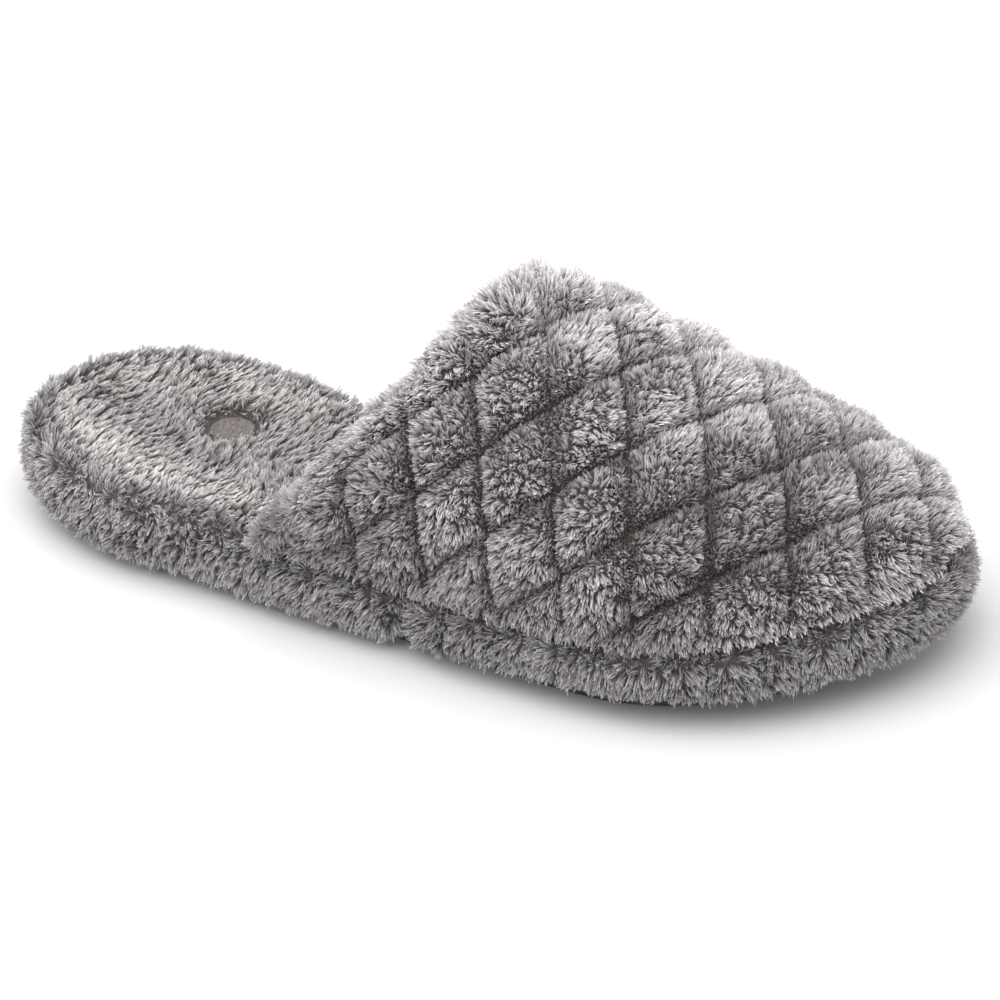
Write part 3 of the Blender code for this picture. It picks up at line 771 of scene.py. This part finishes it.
quilt = {
    "length": 0.02104, "across": 0.03907, "phase": (0.930, 0.938),
    "axis": -0.0141,  # the pattern's own middle line, from the ridge
    "sweep": 0.439, "sweepRadius": 0.060,  # how far the rows sweep back down the sides
    "pillow": 0.0036, "pillowPower": 0.5,  # crest of a diamond over its grooves
    "groove": 0.0022, "grooveWidth": 0.0015,  # the stitched slit
    "held": 0.0022,  # half width of the strip where the stitching holds the pile
    "bare": (0.00048, 0.00112),  # from the stitching, where there is no pile to where it is full
    "marks": (1.0, 7.31),  # weights that give each diamond a number of its own
}
upperPile = {
    **plushPile,
    "seed": 31, "swirlSeed": 7, "tuftsPerMm2": 3.7,
    "tilt": 0.13, "uneven": 0.10, "blunt": 0.4, "rootSpread": 0.00020, "toneTuft": 0.04,
    "lock": 0.0020, "lockPull": 0.55, "lockLean": 0.30, "lockUneven": 0.14, "lockTone": 0.04,
    "turnWave": 0.016, "turnShare": 0.55, "fineWave": 0.006, "fineShare": 0.40, "turnLean": 0.46,
    "diamondShare": 0.25, "diamondTurns": (12.9, 4.1, 7.7),  # each diamond's own way
    "hangLean": 0.24, "grooveStand": 0.75,
    "collarLean": 0.55, "collarLeanRun": (0.86, 0.95),  # combed back to the collar
    "length": 0.0026, "grooveShort": 0.15, "seamShort": 0.12, "seamRun": 0.007,
    "crestLong": 0.50, "crestRun": (0.80, 0.96), "crestPower": 4,  # the top of the collar
    # the darker tone by the grooves is painted shade where the stitching holds the pile
    # the paler tone on the crest is painted light where the top of the collar faces up
    "tone": 0.60, "toneTurn": 0.03, "crestPaintedLight": 0.36, "groovePaintedShade": -0.16,
    "toneInstep": 0.19, "toneInstepRun": (0.3, 0.5),
    # the darker tone low on the sides is painted shade
    "lowSidePaintedShade": -0.60, "lowHeight": (-0.010, 0.046), "lowRun": (0.15, 0.40),  # darker low on the sides
    "grooveFirm": 0.88, "grooveFirmPower": 0.8, "bareShare": 0.97,
}
liningPile = {
    **upperPile,
    "seed": 41, "swirlSeed": 9, "tuftsPerMm2": 0.8, "width": 0.00042, "rootSpread": 0.0008,
    "turnWave": 0.02, "turnLean": 0.6, "length": 0.0034, "tone": 0.5,
    "seenRun": (0.45, 0.60), "seenHeight": (0.0225, 0.0270),  # only near the collar, over the insole
    "rows": 160, "columns": 200,
}


# where a line over the foot meets the collar: a power of a sine, with a peak that reaches back
def collarLine(turn):
    apex, corner = shoe["collarApex"], shoe["collarCorner"]
    rim = corner + (apex - corner) * np.sin(turn) ** shoe["collarCurve"]
    return rim - shoe["peakBack"] * bell(turn - shoe["peakTurn"], shoe["peakSpan"])


# a section is y = half |cos|^(2/n), z = rise sin^(2/n) over the foot
# the rise follows the instep and is rounded at the toe
def vampFace(reach, turn, inset, swell, drop, toeRound):
    lateral, medial, _, toe = edgeLines(inset)
    x = toe + (collarLine(turn) - toe) * reach
    behind = toe - x
    near = np.interp(x, lateral[:, 0], lateral[:, 1])
    far = np.interp(x, medial[:, 0], medial[:, 1])
    crown = smoothCurve(instep["behindToe"], instep["rise"], behind) - drop
    tip = 1 - np.clip(behind / toeRound, 0, 1)
    rise = crown * np.sqrt(1 - tip**2)
    cosine, sine = np.cos(turn), np.clip(np.sin(turn), 0, None)
    power = 2 / vamp["fullness"]
    across = np.sign(cosine) * np.abs(cosine) ** power
    bulge = swell * np.sqrt(sine) * cosine * ease(0, toeRound, behind)
    lean = vamp["ridgeLean"] * np.clip(behind / vamp["ridgeLeanRun"], 0, 1) * sine**2
    y = 0.5 * (near + far) - 0.5 * (far - near) * across - bulge + lean
    z = lift(x) + shoe["seamLevel"] + rise * sine**power
    return np.stack([x, y, z], -1)


def pileFace(reach, turn):
    return vampFace(reach, turn, vamp["pileInset"], vamp["pileSwell"], 0.0, vamp["toeRound"])


def liningFace(reach, turn):
    inset, swell, drop = vamp["liningInset"], vamp["liningSwell"], vamp["liningDrop"]
    return vampFace(reach, turn, inset, swell, drop, vamp["liningToeRound"])


# two slants of grooves: pillow is 0 on a groove and 1 mid-diamond, groove is 1 in its slit
# gives also a number for each diamond and the distance to the nearest groove
def quiltRelief(points):
    steps = np.linalg.norm(np.diff(points, axis=1), axis=2)
    over = np.c_[np.zeros(len(points)), np.cumsum(steps, axis=1)]
    over = over - over[:, [points.shape[1] // 2]] - quilt["axis"]
    toe = edgeLines(vamp["pileInset"])[3]
    swept = quilt["sweep"] * (np.hypot(over, quilt["sweepRadius"]) - quilt["sweepRadius"])
    back = toe - points[..., 0] - swept
    rowStep = quilt["length"] * quilt["across"] / math.hypot(quilt["length"], quilt["across"])
    pillow, groove, diamond, nearest = 1.0, 0.0, 0.0, 1.0
    for slant, phase, mark in zip((-1, 1), quilt["phase"], quilt["marks"]):
        rows = back / quilt["length"] + slant * over / quilt["across"] - phase
        away = np.abs(rows - np.round(rows))
        pillow = pillow * np.sin(math.pi * np.clip(away, 0, 0.5)) ** quilt["pillowPower"]
        groove = np.maximum(groove, bell(away * rowStep, quilt["grooveWidth"]))
        diamond = diamond + mark * np.floor(rows)
        nearest = np.minimum(nearest, away * rowStep)
    return pillow, groove, diamond, nearest


# grid shares: reach from just behind the toe point to the collar, turn over the foot
def vampShares(rows, columns):
    start = vamp["toeStart"]
    reach = (start + (1 - start) * np.linspace(0, 1, rows) ** vamp["toeCrowding"])[:, None]
    turn = np.linspace(0, math.pi, columns)[None, :]
    return reach * vamp["collarEnd"], turn


# cloth under the pile: pile line less its depth, puffed in diamonds, slit along the stitching
# gives also the pile's direction, the strips it is held in and left off, each diamond's number
def vampCloth(rows, columns):
    reach, turn = vampShares(rows, columns)
    face = pileFace(reach, turn)
    normals = gridNormals(face)
    pillow, groove, diamond, nearest = quiltRelief(face)
    fromCollar = np.linalg.norm(face - face[-1], axis=-1)
    overSeam = face[..., 2] - lift(face[..., 0]) - shoe["seamLevel"]
    quilted = ease(*vamp["plainCollar"], fromCollar) * ease(*vamp["plainSeam"], overSeam)
    depth = vamp["crestDepth"] + vamp["toeDepth"] * (1 - ease(*vamp["toeDepthRun"], reach))
    depth = depth + quilt["pillow"] * (1 - pillow) * quilted
    slit = depth + quilt["groove"] * groove * quilted
    puffed = gridNormals(face - normals * depth[..., None])
    stand = unit(vamp["stand"][0] * normals + vamp["stand"][1] * puffed)
    held = bell(nearest, quilt["held"]) * quilted
    bare = (1 - ease(*quilt["bare"], nearest)) * quilted
    return face - normals * slit[..., None], stand, held, bare, diamond


# swirled pile that hangs down the sides, is combed back by the collar and stands by the stitching
def upperField():
    pile = upperPile
    size = vamp["rows"], vamp["columns"]
    cloth, normals, held, bare, diamond = vampCloth(*size)
    reach, over = vampShares(*size)
    rng = np.random.default_rng(pile["swirlSeed"])
    turn = pile["turnShare"] * swirl(cloth, pile["turnWave"], rng)
    own = np.stack([np.sin(diamond * step) for step in pile["diamondTurns"]], -1)
    turn = turn + pile["diamondShare"] * own + pile["fineShare"] * swirl(cloth, pile["fineWave"], rng)
    turn = alongSurface(turn, normals)
    hang = alongSurface(towardsFloor, normals)
    back = alongSurface(towardsHeel, normals)
    byCollar = ease(*pile["collarLeanRun"], reach)[..., None]
    lean = turn * pile["turnLean"] + hang * pile["hangLean"] + back * pile["collarLean"] * byCollar
    height = cloth[..., 2] - lift(cloth[..., 0]) - shoe["seamLevel"]
    low = (1 - ease(*pile["lowHeight"], height)) * ease(*pile["lowRun"], reach)
    bySeam = 1 - ease(0.0, pile["seamRun"], height)
    crest = ease(*pile["crestRun"], reach) * np.sin(over) ** pile["crestPower"]
    length = 1 - pile["grooveShort"] * held + pile["crestLong"] * crest - pile["seamShort"] * bySeam
    tone = pile["tone"] + pile["toneInstep"] * ease(*pile["toneInstepRun"], reach)
    # darker by the stitching: painted shade in the grooves
    tone = tone + pile["groovePaintedShade"] * held + pile["toneTurn"] * turn[..., 0]
    # darker low on the sides: painted shade
    # paler on the crest: painted light
    tone = tone + pile["crestPaintedLight"] * crest + pile["lowSidePaintedShade"] * low
    return {
        "points": cloth,
        "normals": normals,
        "lean": lean * (1 - pile["grooveStand"] * held)[..., None],
        "length": pile["length"] * length,
        "tone": tone,
        "loose": 1 - pile["grooveFirm"] * held ** pile["grooveFirmPower"],
        "weight": 1 - pile["bareShare"] * bare,
    }


# some columns of every grid in a field
def partOf(field, columns):
    return {key: values[:, columns] for key, values in field.items()}


# thinly spread pile inside the vamp, where an eye at the collar can see it
def liningField(rng):
    pile = liningPile
    reach, turn = vampShares(pile["rows"], pile["columns"])
    points = liningFace(reach, turn)
    height = points[..., 2] - lift(points[..., 0])
    even = np.ones(height.shape)
    return {
        "points": points,
        "normals": -gridNormals(points),
        "lean": swirl(points, pile["turnWave"], rng) * pile["turnLean"],
        "length": pile["length"] * even,
        "tone": pile["tone"] * even,
        "loose": even,
        "weight": ease(*pile["seenRun"], reach) * ease(*pile["seenHeight"], height),
    }


collar = {
    "radius": 0.0031,
    "edgeStep": 0.02,  # share of the way to the toe that gives the wall's direction
    "scallop": 0.0026, "scallopLevel": 0.7,  # pillow height that stays where it is
    "angles": (-0.35, math.pi + 0.1),  # round the edge, from the pile face to the lining
    "cornerGrowth": 0.8, "cornerSpan": 0.25,  # rounder at both corners
    # a paler copy of the upper's fibre: painted light on the collar roll, less painted shade at the root
    "fibre": ("#5c5858", "#a29e9e", "#b2aeaf"),
    "rows": 280, "columns": 18,
}
collarPile = {
    **upperPile,
    "seed": 42, "tuftsPerMm2": 4.6, "tilt": 0.26,
    "lock": 0.0050, "lockPull": 0.7, "lockLean": 0.60, "lockUneven": 0.28,
    "turnWave": 0.012, "fineWave": 0.005, "fineShare": 0.8, "turnLean": 0.8, "hangLean": 0.20,
    "length": 0.0030, "topLong": 0.0010, "topPower": 6,
    "cornerLong": 0.0003, "cornerSpan": 0.20, "cornerLoose": 0.3,
    # painted light: paler towards the top, where the collar faces up
    "tone": 0.22, "topPaintedLight": 0.76, "topPaintedLightPower": 1.5,  # paler towards the top
}


# collar: half a circle round the edge of the wall, from pile face to lining, scalloped by the quilting
def collarGrid():
    turn = np.linspace(0, math.pi, collar["rows"])[:, None]
    end = vamp["collarEnd"]
    lastSteps = np.array([[end - collar["edgeStep"], end]])
    outer = pileFace(lastSteps, turn)
    inner = liningFace(lastSteps, turn)
    middle = 0.5 * (outer[:, 1] + inner[:, 1])
    through = unit(outer[:, 1] - inner[:, 1])
    back = unit(alongSurface(unit(outer[:, 1] - outer[:, 0]), through))
    pillow = quiltRelief(pileFace(np.array([[end]]), turn.T))[0].T
    middle = middle + back * collar["scallop"] * (pillow - collar["scallopLevel"]) * np.sin(turn)
    angle = np.linspace(*collar["angles"], collar["columns"])[None, :, None]
    way = through[:, None] * np.cos(angle) + back[:, None] * np.sin(angle)
    radius = collar["radius"] * (1 + collar["cornerGrowth"] * bell(np.sin(turn), collar["cornerSpan"]))
    return middle[:, None] + radius[..., None] * way, way, turn


# straying pile round the collar's edge, longer at the top and paler there with painted light, thicker at
# both corners
def collarField(rng):
    pile = collarPile
    points, way, turn = collarGrid()
    even = np.ones(points.shape[:2])
    stray = swirl(points, pile["turnWave"], rng) + pile["fineShare"] * swirl(points, pile["fineWave"], rng)
    corner = bell(np.sin(turn), pile["cornerSpan"])
    length = pile["length"] + pile["cornerLong"] * corner
    length = length + pile["topLong"] * np.sin(turn) ** pile["topPower"]
    return {
        "points": points,
        "normals": way,
        "lean": alongSurface(stray, way) * pile["turnLean"] + towardsFloor * pile["hangLean"],
        "length": length * even,
        # painted light towards the top
        "tone": (pile["tone"] + pile["topPaintedLight"] * np.sin(turn) ** pile["topPaintedLightPower"]) * even,
        "loose": even * (1 + pile["cornerLoose"] * corner),
        "weight": even * (1 + corner),
    }


def buildUpper():
    size = vamp["clothRows"], vamp["clothColumns"]
    outer = vampCloth(*size)[0]
    inner = liningFace(*vampShares(*size))
    knit = backingKnit("upper backing knit", *vamp["knit"])
    base = shellPiece("upper_cloth", outer, inner, knit)
    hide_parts("upper")
    fibre = plushFibre("upper plush fibre", *vamp["fibre"])
    field = upperField()
    third = math.ceil(vamp["columns"] / 3)
    for number, part in enumerate(("lateral", "ridge", "medial")):
        span = slice(number * third, (number + 1) * third + 1)
        pile = {**upperPile, "seed": upperPile["seed"] + number}
        growPile("upper_pile_" + part, partOf(field, span), pile, fibre)
    print("upper outside done")
    rng = np.random.default_rng(liningPile["swirlSeed"])
    growPile("upper_lining_pile", liningField(rng), liningPile, fibre)
    collarFibre = plushFibre("collar plush fibre", *collar["fibre"])
    growPile("collar_pile", collarField(rng), collarPile, collarFibre)
    print("upper done")


# stage: pale floor, soft studio light, camera at the photo's angle

stage = {
    "azimuth": 27.34458, "elevation": 31.15939, "roll": -1.66489,
    "distance": 1.05073, "target": (0.00845, 0.0, 0.02237),
    "focalPixels": 4034.379, "imagePixels": 1000, "sensorWidth": 36.0, "clip": (0.05, 50.0),
    "world": 1.8,
    "lampAim": (0, 0, 0.03),
    "lamps": {
        "overhead softbox": {"place": (-0.12, -0.28, 1.15), "size": 2.0, "power": 34.0},
        "front fill": {"place": (0.9, -0.9, 0.7), "size": 0.8, "power": 0.5},
    },
    "floor": {"roughness": 0.9, "specular": 0.1, "colour": "#a7a6a5", "half": 6.0},
}


# puts a lamp or camera in the scene by its own three axes and its place
def putInScene(name, data, axes, place):
    thing = bpy.data.objects.new(name, data)
    matrix = np.eye(4)
    matrix[:3, :4] = np.column_stack([*axes, place])
    thing.matrix_world = Matrix(matrix.tolist())
    bpy.context.scene.collection.objects.link(thing)
    return thing


# painted board: plain, pale and dull
def buildFloor():
    material, _, shader = newMaterial("pale studio floor", stage["floor"])
    shader.inputs["Base Color"].default_value = hexToLinear(stage["floor"]["colour"])
    half = stage["floor"]["half"]
    corners = [(-half, -half, 0), (half, -half, 0), (half, half, 0), (-half, half, 0)]
    mesh = bpy.data.meshes.new("floor")
    mesh.from_pydata(corners, [], [(0, 1, 2, 3)])
    mesh.materials.append(material)
    floor = bpy.data.objects.new("floor", mesh)
    bpy.context.scene.collection.objects.link(floor)


# round soft lamp that faces the shoe
def addArea(name, place, size, power):
    light = bpy.data.lights.new(name, "AREA")
    light.shape = "DISK"
    light.size = size
    light.energy = power
    back = unit(np.array(place) - np.array(stage["lampAim"]))
    side = unit(np.cross((0.0, 1.0, 0.0), back))
    putInScene(name, light, (side, np.cross(back, side), back), place)


def buildLights():
    world = bpy.data.worlds.new("studio")
    world.use_nodes = True
    background = world.node_tree.nodes["Background"]
    background.inputs["Color"].default_value = (1.0, 1.0, 1.0, 1.0)
    background.inputs["Strength"].default_value = stage["world"]
    bpy.context.scene.world = world
    for name, lamp in stage["lamps"].items():
        addArea(name, **lamp)


# camera axes from azimuth, elevation and roll, at a distance from its target
def buildCamera():
    azimuth, elevation, roll = (math.radians(stage[key]) for key in ("azimuth", "elevation", "roll"))
    level = np.array([math.cos(azimuth), math.sin(azimuth), 0])
    outwards = np.array([math.sin(azimuth), -math.cos(azimuth), 0])
    back = outwards * math.cos(elevation) + np.array([0, 0, math.sin(elevation)])
    upright = np.cross(back, level)
    side = level * math.cos(roll) + upright * math.sin(roll)
    up = -level * math.sin(roll) + upright * math.cos(roll)
    place = np.array(stage["target"]) + back * stage["distance"]
    data = bpy.data.cameras.new("camera")
    data.sensor_width = stage["sensorWidth"]
    data.lens = stage["focalPixels"] / stage["imagePixels"] * data.sensor_width
    data.clip_start, data.clip_end = stage["clip"]
    bpy.context.scene.camera = putInScene("camera", data, (side, up, back), place)


buildCamera()
buildFloor()
buildLights()
bpy.context.scene.view_settings.view_transform = "Standard"
print("stage done")
buildOutsole()
buildFootbed()
buildPatch()
buildWraps()
buildUpper()
